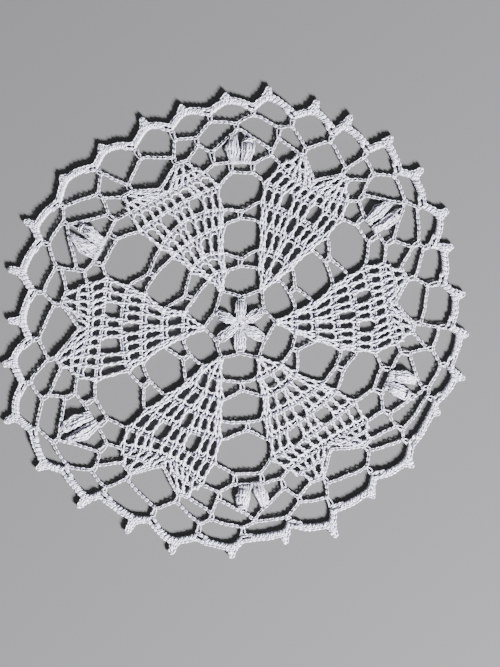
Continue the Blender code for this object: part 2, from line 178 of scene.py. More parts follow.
def long_stitch(path, width=1.0, up=0.0, lift=0.0, wraps=(0.5,), spread=1.0):
    """Long stitch along a flat line: two strands, slanted wraps round them and a strand down their middle.
    It is raised by up + lift sin(pi share), and spread scales the gap between the strands at its head."""
    whole = length(path)
    size = min(1.0, whole / FULL_STITCH)
    share, ahead, aside, *heights = LONG_STITCH.T
    along = share * whole + ahead * size
    bulge = LAYER + up + lift * np.sin(np.pi * np.clip(along / whole, 0, 1))
    aside = aside * width * np.where(share < 1, 1.0, spread) + rng.uniform(-0.06, 0.06, len(aside))
    strands = [lay(path, along, hand * aside, bulge + height) for hand, height in zip((1, -1), heights)]
    turn = np.radians(np.linspace(-120, 300, 8))
    place = np.array(wraps)[:, None] + rng.uniform(-0.05, 0.05)
    long, wide, high = WRAP
    slant = place * whole + long * size * np.cos(turn)
    rise = LAYER + up + lift * np.sin(np.pi * place) + high * np.sin(turn)
    rings = lay(path, slant, wide * width * np.cos(turn), rise)
    share = np.linspace(-0.1, 1.1 - 0.4 * size, 7)
    core = lay(path, share * whole, 0.0, LAYER + up - 0.1 + lift * np.sin(np.pi * np.clip(share, 0, 1)))
    return [smooth(np.array(strands), STRAND_STEPS), smooth(rings, 6), smooth(core[None], 6)]


def strand(*points):
    """One thread along points given as (flat point, height), with each end mirrored to guide it."""
    points = np.array([(*place, height) for place, height in points])
    points = np.vstack((2 * points[0] - points[1], points, 2 * points[-1] - points[-2]))
    return smooth(points, 3 * (len(points) - 3))[None]


def tubes(paths, radius):
    """Round tubes: at each step, middle + radius (cos a side + sin a up), where side is carried along the
    path, kept square to it, and up is square to both. Returns points, quads, end faces and their UVs."""
    paths = np.asarray(paths) * MM
    many, steps = paths.shape[:2]
    ahead = np.gradient(paths, axis=1)
    ahead /= np.linalg.norm(ahead, axis=2, keepdims=True)
    side = np.empty_like(paths)
    now = np.cross(ahead[:, 0], (0.2, 0.1, 1.0))
    for step in range(steps):
        now = now - np.sum(now * ahead[:, step], axis=1, keepdims=True) * ahead[:, step]
        now /= np.linalg.norm(now, axis=1, keepdims=True)
        side[:, step] = now
    up = np.cross(ahead, side)
    turn = 2 * np.pi * np.arange(SIDES) / SIDES
    ring = np.cos(turn)[:, None] * side[:, :, None] + np.sin(turn)[:, None] * up[:, :, None]
    points = (paths[:, :, None] + radius * MM * ring).reshape(-1, 3)
    index = np.arange(many * steps * SIDES).reshape(many, steps, SIDES)
    near, far = index[:, :-1], index[:, 1:]
    quads = np.stack((near, np.roll(near, -1, axis=2), np.roll(far, -1, axis=2), far), axis=-1).reshape(-1, 4)
    ends = np.concatenate((index[:, 0, ::-1], index[:, -1]))
    run = np.linalg.norm(np.diff(paths, axis=1), axis=2).cumsum(axis=1)
    run = np.hstack((np.zeros((many, 1)), run)) / MM + rng.uniform(0, 50, (many, 1))
    u = np.broadcast_to(run[:, :, None], (many, steps, SIDES + 1))
    v = np.broadcast_to(np.arange(SIDES + 1) / SIDES, u.shape)
    uv = np.stack((u, v), axis=-1)
    corners = (uv[:, :-1, :-1], uv[:, :-1, 1:], uv[:, 1:, 1:], uv[:, 1:, :-1])
    return points, quads, ends, np.stack(corners, axis=-2).reshape(-1, 2)


def crochet(name, threads, finish):
    """Makes one piece of all its threads, each a set of paths with a thickness, in a finish, and lays it on
    the frame."""
    points, quads, ends, uvs, first = [], [], [], [], 0
    for paths, thickness in threads:
        made = tubes(paths, thickness / 2)
        points.append(made[0])
        quads.append(made[1] + first)
        ends.append(made[2] + first)
        uvs.append(made[3])
        first += len(made[0])
    quads, ends = np.concatenate(quads), np.concatenate(ends)
    mesh = bpy.data.meshes.new(name)
    mesh.from_pydata(np.concatenate(points), [], quads.tolist() + ends.tolist())
    uv = np.concatenate(uvs + [np.zeros((ends.size, 2))])
    mesh.uv_layers.new(name="thread").data.foreach_set("uv", uv.astype(np.float32).ravel())
    mesh.shade_smooth()
    mesh.materials.append(finish)
    piece = bpy.data.objects.new(name, mesh)
    bpy.context.scene.collection.objects.link(piece)
    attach(piece, "root")
    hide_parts("doily")
    return piece


def maths(tree, operation, *values):
    """Result of an arithmetic node. Each value is a number or the output of another node."""
    node = tree.nodes.new("ShaderNodeMath")
    node.operation = operation
    for socket, value in zip(node.inputs, values):
        if isinstance(value, bpy.types.NodeSocket):
            tree.links.new(value, socket)
        else:
            socket.default_value = value
    return node.outputs[0]


def spun_cotton(name, crown):
    """Mercerised cotton: plies as slanted ridges round the thread, fine fibres along it, and painted shade
    that greys a thread's flanks, its ply grooves and all below the crown, the height in mm at which the lace
    is
    whitest. Ramp share: height's share of the crown less the flank share, plus uneven cloud, furrow share of
    the relief and flank share of the normal's upward part."""
    material = bpy.data.materials.new(name)
    material.use_nodes = True
    tree = material.node_tree
    nodes, links = tree.nodes, tree.links
    shader = nodes["Principled BSDF"]
    shader.inputs["Sheen Weight"].default_value = 0.2
    shader.inputs["Sheen Roughness"].default_value = 0.4
    shader.inputs["Specular IOR Level"].default_value = 1.0

    thread = nodes.new("ShaderNodeUVMap")
    thread.uv_map = "thread"
    parts = nodes.new("ShaderNodeSeparateXYZ")
    links.new(thread.outputs["UV"], parts.inputs["Vector"])
    turns = maths(tree, "DIVIDE", parts.outputs["X"], PLY)
    slant = maths(tree, "MULTIPLY_ADD", parts.outputs["Y"], PLIES, turns)
    plies = maths(tree, "SINE", maths(tree, "MULTIPLY", slant, 2 * math.pi))

    stretch = nodes.new("ShaderNodeMapping")
    stretch.inputs["Scale"].default_value = (1.0, 14.0, 1.0)
    links.new(thread.outputs["UV"], stretch.inputs["Vector"])
    fibre = nodes.new("ShaderNodeTexNoise")
    fibre.inputs["Scale"].default_value = 1.6
    fibre.inputs["Detail"].default_value = 3.0
    links.new(stretch.outputs["Vector"], fibre.inputs["Vector"])

    relief = maths(tree, "MULTIPLY_ADD", plies, 0.5, fibre.outputs["Fac"])
    bump = nodes.new("ShaderNodeBump")
    bump.inputs["Strength"].default_value = 1.0
    bump.inputs["Distance"].default_value = RIDGE * MM
    links.new(relief, bump.inputs["Height"])
    links.new(bump.outputs["Normal"], shader.inputs["Normal"])

    place = nodes.new("ShaderNodeTexCoord")
    cloud = nodes.new("ShaderNodeTexNoise")
    cloud.inputs["Scale"].default_value = 90.0
    cloud.inputs["Detail"].default_value = 4.0
    links.new(place.outputs["Object"], cloud.inputs["Vector"])
    level = nodes.new("ShaderNodeSeparateXYZ")
    links.new(place.outputs["Object"], level.inputs["Vector"])
    # Painted shade: threads lower than the crown height are painted greyer.
    height_shade = nodes.new("ShaderNodeMapRange")
    height_shade.inputs["From Min"].default_value = 0.1 * MM
    height_shade.inputs["From Max"].default_value = crown * MM
    height_shade.inputs["To Min"].default_value = -FLANK_SHADE
    height_shade.inputs["To Max"].default_value = 1.0 - FLANK_SHADE
    links.new(level.outputs["Z"], height_shade.inputs["Value"])
    facing = nodes.new("ShaderNodeSeparateXYZ")
    links.new(place.outputs["Normal"], facing.inputs["Vector"])
    # Share of the ramp: painted shade by height, plus the cotton's own uneven tone from the cloud.
    white = maths(tree, "MULTIPLY_ADD", cloud.outputs["Fac"], UNEVEN, height_shade.outputs["Result"])
    # Painted shade in the ply grooves, with the fibres' own streaks.
    white = maths(tree, "MULTIPLY_ADD", relief, GROOVE_SHADE_AND_FIBRE, white)
    # Painted shade: a thread's flanks, whose normals point less upwards, are painted greyer than its top.
    white = maths(tree, "MULTIPLY_ADD", facing.outputs["Z"], FLANK_SHADE, white)

    # The ramp runs from the painted shade's grey to the cotton's white.
    colour = nodes.new("ShaderNodeValToRGB")
    colour.color_ramp.elements[0].position = 0.26
    colour.color_ramp.elements[0].color = (0.13, 0.13, 0.16, 1.0)
    colour.color_ramp.elements[1].position = 1.0
    colour.color_ramp.elements[1].color = (0.62, 0.62, 0.74, 1.0)
    links.new(white, colour.inputs["Fac"])
    links.new(colour.outputs["Color"], shader.inputs["Base Color"])
    gloss = nodes.new("ShaderNodeMapRange")
    gloss.inputs["To Min"].default_value = 0.45
    gloss.inputs["To Max"].default_value = 0.25
    links.new(white, gloss.inputs["Value"])
    links.new(gloss.outputs["Result"], shader.inputs["Roughness"])
    return material


threads = []
for gap, (turn, reach, width) in enumerate(PETALS):
    next_turn, next_reach, _ = PETALS[(gap + 1) % REPEATS]
    end = reach - EYELET
    for side in STRANDS:
        side = side * (width - PETAL_INSET) / 2
        path = line(beside(turn, 0.9, 0.25 * side), beside(turn, 0.4 * end, 0.8 * side),
                    beside(turn, 0.75 * end, side), beside(turn, end + 0.3, 0.55 * side))
        threads += long_stitch(path, width=1.05, lift=0.9 - 0.2 * abs(side), wraps=rng.uniform(0.3, 0.7, 2),
                               spread=0.5)
    corner = 0.3 * width - 0.2
    threads.append(strand((beside(turn, end - 0.2, -corner), 0.8),
                          (beside(turn, end + 0.3, -0.4 * corner), 1.5),
                          (beside(turn, end + 0.3, 0.4 * corner), 1.5),
                          (beside(turn, end - 0.2, corner), 0.8)))
    threads += [strand((beside(turn, end - 1.2, 0.8 * corner * side), 1.3),
                       (beside(turn, end + 0.2, 0.9 * corner * side), 1.2),
                       (beside(turn, reach + 0.2, FLARE * side), 0.7)) for side in (-1, 1)]
    foot_turn, foot_reach = FANS[(gap + 1) % REPEATS][0:2]
    foot = at(foot_turn, foot_reach - FOOT_EYELET)
    threads += [chain(line(at(turn, reach), foot)), chain(line(foot, at(next_turn, next_reach)))]
    threads += [strand((beside(foot_turn, foot_reach - FOOT_EYELET - 0.2, 0.3 * side), 0.8),
                       (beside(foot_turn, foot_reach, 0.8 * side), 0.9),
                       (beside(foot_turn, foot_reach + 1.3, 0.8 * side), 0.9)) for side in (-1, 1)]
circle = [at(turn, RING_REACH) for turn in range(0, 421, 60)]
threads.append(chain(line(*circle), pitch=1.1, width=0.7, up=0.3))
# The petals' copy of the cotton differs only in how high its painted shade reaches.
crochet("flower", [(paths, THREAD) for paths in threads], spun_cotton("petal_cotton", PETAL_SHADE_CROWN))


# Fans. Each is six rows of long stitches in white cotton that widen from one foot, with a chain along the
# top of each row. On the sixth row stand two tips with a notch between them, of six and then three stitches.

HEAD = 2.6                 # mm, from a row's top down to where the strands of its stitches part
ROW_PITCH = 1.65           # mm, chain stitch along a row's top
POST_THREAD = 0.82         # mm, thickness of a long stitch's strands, which spread where nothing pulls them
CLOSED = 1.4               # mm, apart from each other, two heads leave no cell between them
TIP_NECK = 2.6             # mm, from a tip down to where its stitches meet
TIE_LEAN = 0.45            # mm that a tie's top leans to the right
TIE_GAPE = 1.1             # mm that a tie's loose strand bows out to the left
SHADE_CROWN = 1.7                # mm, height at which fans, net and border are whitest; lower threads get painted shade

# Chain arches of rounds 2 to 6, a row a gap: turn and reach at the low fan, mid-arch, at the high fan
ROUNDS = {
    2: (
        (14, 22.3, 32, 22.7, 49, 22.7), (72, 23.1, 90, 22.3, 104, 21.2),
        (125, 20.8, 150, 20.0, 166, 21.6), (195, 22.7, 211, 22.3, 228, 21.6),
        (252, 22.3, 271, 22.3, 287, 21.9), (318, 22.3, 335, 22.3, 350, 21.9),
    ),
    3: (
        (17, 30.0, 33, 25.8, 47, 30.0), (76, 30.0, 88, 25.4, 103, 28.1),
        (133, 27.7, 152, 23.9, 168, 29.6), (197, 30.4, 211, 25.8, 227, 30.4),
        (258, 30.0, 272, 25.4, 288, 29.3), (320, 28.9, 335, 24.6, 348, 30.4),
    ),
    4: (
        (23, 39.3, 36, 40.8, 46, 40.0), (79, 40.4, 90, 40.8, 99, 38.5),
        (135, 36.6, 150, 37.7, 162, 38.5), (202, 40.4, 212, 40.8, 224, 39.7),
        (259, 38.1, 274, 37.7, 284, 37.3), (325, 39.3, 336, 40.4, 346, 40.4),
    ),
    5: (
        (24, 46.2, 36, 43.2, 45, 48.1), (80, 48.1, 89, 43.6, 98, 44.7),
        (136, 42.4, 150, 40.2, 161, 45.4), (203, 46.6, 212.5, 44.4, 222, 49.3),
        (261, 45.0, 274, 41.0, 284, 45.8), (326, 45.4, 336, 43.7, 347, 46.6),
    ),
    6: (
        (25, 53.5, 36, 58.9, 45.5, 56.6), (80, 55.4, 89, 58.5, 98.5, 53.9),
        (137, 52.7, 150, 57.4, 160.5, 54.3), (201.5, 59.7, 211, 62.4, 222.5, 58.9),
        (260, 54.3, 273, 57.4, 283, 53.5), (326.5, 53.5, 338, 57.0, 348, 53.5),
    ),
}

# Round 7, a row a gap. Its corners are where the chain leaves the fans, and each peak carries a leg.
# Corner, peak, leg top, turns of the two posts, reaches of their feet and tops, high peak, leg top, corner
SEVENTH = (
    ((23, 60.4), (28.5, 63.9), 67.8, (32.5, 40.5), (58.9, 63.6), (46, 65.8), 69.3, (48.5, 63.5)),
    ((75.5, 63.5), (79.5, 66.2), 68.5, (85, 93), (58.5, 62.4), (99, 62.4), 67.4, (103, 60.1)),
    ((135, 60.4), (140, 62.4), 66.2, (145, 156.5), (57.4, 61.2), (161, 63.1), 66.6, (165, 60.8)),
    ((198, 65.8), (202.7, 68.5), 73.2, (207, 215.5), (62.4, 67.2), (222, 68.5), 73.2, (226, 66.2)),
    ((257, 63.5), (263, 64.7), 68.1, (268, 278), (57.6, 61.6), (285, 61.2), 65.5, (288.5, 58.9)),
    ((323, 61.6), (329, 64.3), 67.4, (334, 343), (57.0, 60.8), (350, 62.8), 66.6, (353, 61.2)),
)

# Round 8, a row a gap: shoulder of the low fan, peak, reach of the tie on it, the same for the high fan
EIGHTH = (
    ((19.5, 65.8), (24.2, 72.8), 75.8, (53, 69.7), (48.2, 74.3), 77.7),
    ((71, 69.7), (78.3, 73.3), 77.3, (107.5, 66.2), (103, 70.8), 73.8),
    ((133, 66.6), (137.3, 71.8), 74.3, (169, 67.8), (162.5, 71.8), 74.2),
    ((193.5, 70.5), (200.4, 78.3), 81.3, (229.5, 69.7), (224.6, 77.2), 80.1),
    ((253.5, 69.3), (261.5, 73.2), 75.8, (294.5, 66.6), (288.7, 70.0), 72.1),
    ((319, 67.0), (327, 71.8), 74.7, (357.5, 66.6), (352.6, 72.6), 74.8),
)

# Long stitches of each fan row, as shares of the row's width at their feet and at their heads
FAN_ROWS = {
    1: ((0.4, 0.10), (0.5, 0.5), (0.6, 0.90)),
    2: ((0.08, 0.03), (0.13, 0.20), (0.52, 0.52), (0.87, 0.80), (0.92, 0.97)),
    3: ((0.04, 0.02), (0.08, 0.10), (0.27, 0.27), (0.49, 0.45), (0.53, 0.56), (0.71, 0.71), (0.90, 0.87),
        (0.94, 0.97)),
    4: ((0.03, 0.02), (0.07, 0.085), (0.18, 0.18), (0.295, 0.295), (0.42, 0.42), (0.575, 0.575),
        (0.675, 0.675), (0.80, 0.80), (0.93, 0.91), (0.965, 0.98)),
    5: ((0.02, 0.02), (0.12, 0.12), (0.22, 0.22), (0.40, 0.40), (0.50, 0.50), (0.59, 0.60), (0.78, 0.77),
        (0.88, 0.87), (0.98, 0.98)),
    6: tuple((share, share) for share in (0.02, 0.12, 0.21, 0.28, 0.39, 0.50, 0.60, 0.69, 0.78, 0.88, 0.98)),
}
OPEN_CELLS = {4: (4,), 5: (2, 5)}      # cells with no strand across their top, counted from the low side

# Lines of a tip's long stitches: share of the sixth row's width at their feet, share of the way from the
# shoulder to the tip at their heads. The first row has a stitch on each line, the second one to two lines.
TIP_STITCHES = ((0.02, 0.0), (0.11, 0.3), (0.2, 0.53), (0.29, 0.71), (0.38, 0.86), (0.46, 1.0))
TIP_ROW = 4                # tenths of such a line that the first row takes
TIP_RISES = (0.1, 0.25, 0.2)   # mm that the second row's stitches are raised
TIP_STRAY = 0.4            # mm that such a line strays from straight
TIP_THREAD = 0.7           # mm, thickness of a tip's long stitches, which are pulled tight


def row_line(fan, row, share):
    """Point on top of a fan's row: even in turn, its reach a quadratic through both ends and the axis."""
    if row == 0:
        return beside(*FANS[fan][0:2], 3 * share - 1.5)
    if row == 6:
        low, high = SEVENTH[fan - 1][7], SEVENTH[fan][0]
    else:
        low, high = ROUNDS[row + 1][fan - 1][4:6], ROUNDS[row + 1][fan][0:2]
    low_turn = low[0] - 360 * (low[0] > high[0])
    axis = FANS[fan][2][row - 1]
    weights = (1 - share) * (1 - 2 * share), 4 * share * (1 - share), share * (2 * share - 1)
    reach = weights[0] * low[1] + weights[1] * axis + weights[2] * high[1]
    return at(low_turn + (high[0] - low_turn) * share, reach)


def neck(path, side, down=HEAD):
    """Flat point beside a long stitch, where its strands part."""
    return lay(path, length(path) - down, side, 0.0)[0:2]


def arch(low, high):
    """Strand over the cell between two long stitches: from neck to neck, with its middle further out."""
    start, end = neck(low, 0.35), neck(high, -0.35)
    heads = (low[-1] + high[-1]) / 2
    crest = (start + end) / 2 + 0.36 * (heads - (start + end) / 2)
    return strand((neck(low, 0.1, HEAD + 0.5), 0.6), (start, 0.9), (crest, 1.0), (end, 0.9),
                  (neck(high, -0.1, HEAD + 0.5), 0.6))


def corner_strand(path, side):
    """Strand that rounds the top corner of an open cell: from a stitch's neck on to its row's chain."""
    return strand((neck(path, 0.15 * side, HEAD + 0.4), 0.7), (neck(path, 0.5 * side, 1.9), 0.9),
                  (neck(path, 1.5 * side, 0.5), 0.7))


def tie(foot, top):
    """Tie between two rounds: a long stitch from foot to top, leaning to the right, and one strand that
    leaves its foot and bows out to the left, so that a slit stays open between them."""
    ahead = (top - foot) / np.linalg.norm(top - foot)
    left = np.array((-ahead[1], ahead[0]))
    post = long_stitch(line(foot - 0.2 * left, top - TIE_LEAN * left), width=0.75, spread=0.6)
    thin = strand((foot + 0.1 * left - 0.5 * ahead, 0.9), (foot + 0.4 * left, 1.3),
                  (foot + 0.35 * (top - foot) + 0.9 * left, 1.0),
                  (foot + 0.75 * (top - foot) + TIE_GAPE * left, 0.9),
                  (top + 0.3 * ahead + (TIE_GAPE - 0.15) * left, 0.7))
    return [*post, thin]


# Cotton whose painted shade reaches up to the height of the fans, net and border.
cotton = spun_cotton("cotton_thread", SHADE_CROWN)
threads, rows = [], []
for fan in range(REPEATS):
    for row, stitches in FAN_ROWS.items():
        paths = [line(row_line(fan, row - 1, foot), row_line(fan, row, head))
                 for foot, head in np.array(stitches) + rng.uniform(-0.008, 0.008, (len(stitches), 1))]
        for path in paths:
            threads += long_stitch(path, width=1.25, up=0.1, wraps=(0.3, 0.58))
        for number, (low, high) in enumerate(zip(paths, paths[1:])):
            if number in OPEN_CELLS.get(row, ()):
                threads += [corner_strand(low, 1), corner_strand(high, -1)]
            elif np.linalg.norm(high[-1] - low[-1]) > CLOSED:
                threads.append(arch(low, high))
        top = line(*(row_line(fan, row, share) for share in np.linspace(0, 1, 7)))
        rows.append(chain(top, pitch=ROW_PITCH, width=0.8, up=-0.1, roll=12.0))
fans = crochet("fans", [(paths, POST_THREAD) for paths in threads], cotton)
crochet("fan_rows", [(paths, THREAD) for paths in rows], cotton)

threads, posts = [], []
for fan in range(REPEATS):
    notch = at(*FANS[fan][3])
    posts += long_stitch(line(row_line(fan, 6, 0.5), notch), width=1.5, up=0.1, wraps=(0.4,))
    for side, tip, shoulder in ((0, FANS[fan][4], EIGHTH[fan - 1][3]), (1, FANS[fan][5], EIGHTH[fan][0])):
        tip, shoulder = at(*tip), at(*shoulder)
        join = tip * (1 - TIP_NECK / np.linalg.norm(tip))
        paths = [line(row_line(fan, 6, abs(side - share)), shoulder + along * (join - shoulder))
                 for share, along in TIP_STITCHES]
        for path in paths:
            path += TIP_STRAY * np.sin(np.linspace(0, np.pi, len(path)))[:, None] * rng.uniform(-1, 1, 2)
        first = [path[:TIP_ROW + 1] for path in paths]
        second = [(low[TIP_ROW:] + high[TIP_ROW:]) / 2 for low, high in zip(paths[::2], paths[1::2])]
        for path, (_, along) in zip(first, TIP_STITCHES):
            posts += long_stitch(path, width=1.05, lift=0.2, up=0.2 * along, wraps=(0.3, 0.6))
        for path, up in zip(second, TIP_RISES):
            posts += long_stitch(path, width=1.3, lift=0.2, up=up, wraps=(0.3, 0.6))
        threads.append(chain(line(*(path[-1] for path in first)), pitch=ROW_PITCH, width=0.8, up=0.4))
        threads.append(chain(line(shoulder, join), pitch=ROW_PITCH, width=0.75, up=0.35))
        threads.append(chain(line(join, notch), pitch=ROW_PITCH, up=0.35))
        threads += tie(join, tip)
crochet("fan_tips", [(paths, THREAD) for paths in threads] + [(paths, TIP_THREAD) for paths in posts], cotton)


# Leaves. A pair in each gap, each of five long stitches in white cotton that are held together at both ends
# and puff up above the net. A chain runs over both, and the low leaf hangs from it by two loose strands.

# A row a gap: turn of the line between the leaves; mm aside and reach of the chain over them, from the low
# side over the crown; mm aside and reach of the crown, and of the corner above it. Then mm aside, reach and
# width of the low leaf's foot, belly and top, and of the high leaf's.
LEAVES = (
    (36.95, ((-2.8, 76.0), (-0.6, 77.9), (3.0, 75.0)), (-0.4, 77.9), (-0.8, 79.6),
     ((-2.1, 63.4, 2.6), (-2.6, 69.0, 4.5), (-2.6, 73.4, 3.8)),
     ((2.1, 63.2, 2.4), (2.8, 69.0, 5.0), (2.5, 75.0, 1.8))),
    (89.85, ((-2.6, 73.3), (0.8, 75.0), (3.0, 73.2)), (1.0, 75.0), (1.5, 77.3),
     ((-2.2, 62.5, 3.0), (-3.0, 67.8, 5.2), (-2.9, 71.0, 4.0)),
     ((2.2, 62.3, 2.6), (3.0, 67.5, 5.1), (2.2, 73.4, 1.8))),
    (150.5, ((-3.0, 74.0), (-0.6, 76.3), (2.2, 74.3)), (-1.0, 76.2), (-1.2, 78.7),
     ((-0.9, 61.2, 3.4), (-2.4, 67.2, 4.6), (-2.4, 71.6, 3.6)),
     ((3.4, 60.8, 3.6), (3.3, 66.5, 5.2), (1.8, 74.4, 1.8))),
    (212.4, ((-3.4, 79.6), (0.0, 82.4), (2.3, 80.4)), (-0.3, 82.3), (-0.3, 85.0),
     ((-1.2, 67.3, 3.0), (-2.4, 73.5, 4.6), (-2.4, 78.4, 3.6)),
     ((2.6, 67.0, 3.0), (3.3, 73.2, 5.1), (1.8, 80.2, 1.8))),
    (274.0, ((-3.0, 72.5), (0.3, 74.8), (3.2, 72.3)), (0.3, 74.8), (0.8, 76.0),
     ((-2.2, 62.2, 3.8), (-3.3, 66.5, 5.2), (-3.6, 70.2, 4.0)),
     ((2.0, 61.2, 3.4), (3.8, 65.8, 5.0), (4.8, 70.6, 2.2))),
    (339.7, ((-2.3, 72.9), (1.2, 74.5), (3.7, 71.9)), (1.4, 74.4), (2.1, 76.7),
     ((-2.0, 61.0, 3.6), (-2.9, 66.6, 4.8), (-3.0, 70.4, 3.8)),
     ((1.6, 61.0, 3.2), (3.1, 66.8, 4.8), (3.1, 71.4, 2.2))),
)
LEAF_STRANDS = (-1.0, -0.5, 0.0, 0.5, 1.0)
LEAF_INSETS = (0.9, 0.8, 1.2)  # mm by which its outer stitches lie closer than foot, belly and top are wide
LEAF_STRAY = 0.2           # mm aside that a leaf's stitch may stray
LEAF_SHADE_CROWN = 2.9           # mm, height at which the leaves are whitest; lower threads get painted shade

threads = []
for turn, roof, _, _, *leaves in LEAVES:
    for points in leaves:
        for side in LEAF_STRANDS:
            path = line(*(beside(turn, reach, aside + side * (width - inset) / 2
                                 + rng.uniform(-LEAF_STRAY, LEAF_STRAY))
                          for (aside, reach, width), inset in zip(points, LEAF_INSETS)))
            threads += long_stitch(path, width=1.1, up=rng.uniform(-0.3, 0.15), lift=1.15 - 0.5 * abs(side),
                                   wraps=rng.uniform(0.25, 0.75, 2), spread=0.5)
    aside, reach, width = leaves[0][2]
    for out, rise in ((-0.5, 1.85), (0.25, 1.55)):
        threads.append(strand((beside(turn, reach + out - 0.5, aside - width / 2), 0.8),
                              (beside(turn, reach + out, aside - width / 4), rise),
                              (beside(turn, reach + out, aside + width / 4), rise),
                              (beside(turn, reach + out - 0.5, aside + width / 2), 0.8)))
    for side in (-0.85, 0.85):
        over = np.interp(aside + side, *np.transpose(roof))
        threads.append(strand((beside(turn, reach - 0.6, aside + 0.6 * side), 1.2),
                              (beside(turn, (reach + over) / 2, aside + 1.3 * side), 0.9),
                              (beside(turn, over + 0.2, aside + 0.8 * side), 0.6)))
# The leaves' copy of the cotton differs only in how high its painted shade reaches.
crochet("leaves", [(paths, POST_THREAD) for paths in threads], spun_cotton("leaf_cotton", LEAF_SHADE_CROWN))


# Net. Arches of cotton chain stitches join the fans, round on round. Every second one is tied to the arch
# inside it, and from the seventh round on each peak is tied to the next round by a long stitch.

ARCHES = 5
TIE_RIGHT, TIE_LEFT = -0.45, 0.9       # mm aside of a tie's top, where the two chains that it holds begin
DIP = 1.3                  # mm, how far inwards a chain is caught in the fan that it leaves
TURN_OVER = 0.9            # mm, from there to where the chain has bent over to its own way
BOW = 0.4                  # mm that a side of the last round bows out

# Border, five rows a repeat, the first over a fan's notch: turn of the leg, reach of its foot on the last
# chain round, reach of its top, turn of the arch's point, reach of the arch's inner side there, reach of
# the point's tip
BORDER = (
    (11.5, 73.5, 78.2, 20.3, 81.6, 87.8), (22.3, 76.2, 78.7, 28.8, 85.5, 91.6),
    (33, 81.2, 82.8, 40.5, 85.9, 92.8), (43.8, 82.0, 83.5, 51, 87.4, 93.2),
    (53.4, 79.7, 82.4, 62, 84.3, 91.6),
    (63.6, 78.2, 80.9, 71, 84.9, 91.6), (75.2, 78.5, 81.6, 83, 86.2, 92.4),
    (86.2, 80.5, 82.4, 93.5, 84.3, 89.7), (98, 78.5, 81.2, 105, 82.4, 87.8),
    (109.3, 74.7, 78.9, 115.5, 82.0, 88.4),
    (120.7, 73.9, 78.5, 128, 82.8, 88.2), (132.5, 78.2, 80.9, 140.5, 85.1, 90.1),
    (146, 80.9, 82.8, 154.3, 85.1, 92.0), (157.2, 79.3, 82.0, 166.5, 83.9, 91.6),
    (170.7, 76.2, 79.3, 179, 81.6, 89.3),
    (184, 77.0, 79.7, 189.5, 86.2, 92.8), (195.3, 83.2, 85.1, 202.5, 90.9, 98.0),
    (207, 87.0, 88.2, 215.5, 90.1, 96.2), (219.5, 85.5, 86.6, 228.5, 87.0, 94.1),
    (230.6, 80.9, 83.2, 241.5, 83.2, 91.6),
    (245.3, 77.4, 81.2, 253.3, 85.1, 92.4), (258.5, 77.8, 82.0, 268, 83.9, 90.1),
    (270.7, 77.8, 81.2, 282, 80.1, 86.6), (284, 75.8, 77.6, 294.5, 82.4, 90.1),
    (296.7, 74.3, 78.5, 307.8, 79.3, 84.7),
    (311.5, 73.2, 76.6, 320.7, 81.0, 86.6), (324.8, 76.6, 79.3, 336, 79.5, 84.7),
    (338.7, 77.0, 79.7, 346.5, 83.2, 89.3), (348.7, 78.5, 80.9, 357.5, 82.6, 88.2),
    (359.2, 76.2, 79.7, 367.7, 81.6, 87.8),
)


def tied(foot, top):
    """Tie from one round out to a corner of the next, both given as turn and reach, with a short link over
    its top. Returns its threads, and the points right and left of its top where the chains begin."""
    right, left = beside(*top, TIE_RIGHT), beside(*top, TIE_LEFT)
    return [*tie(at(*foot), at(*top)), chain(line(right, left), pitch=1.5, width=0.9)], right, left


def from_line(turn, aside, reach):
    """Turn and reach of a point given as mm aside of the line at turn, and reach along it."""
    return turn + math.degrees(math.atan2(aside, reach)), math.hypot(aside, reach)


def hung(start, *points):
    """Line through points that leaves its first point outwards from the doily's centre, then bends over."""
    inner = start - DIP * start / np.linalg.norm(start)
    ahead = points[0] - start
    return line(inner, start + TURN_OVER * ahead / np.linalg.norm(ahead), *points)


def bowed(start, *points):
    """Line through points, whose sides bow a little away from the doily's centre between tight corners."""
    places = [start]
    for point in points:
        middle = (places[-1] + point) / 2
        places += [middle * (1 + BOW / np.linalg.norm(middle)), point]
    return line(*places)


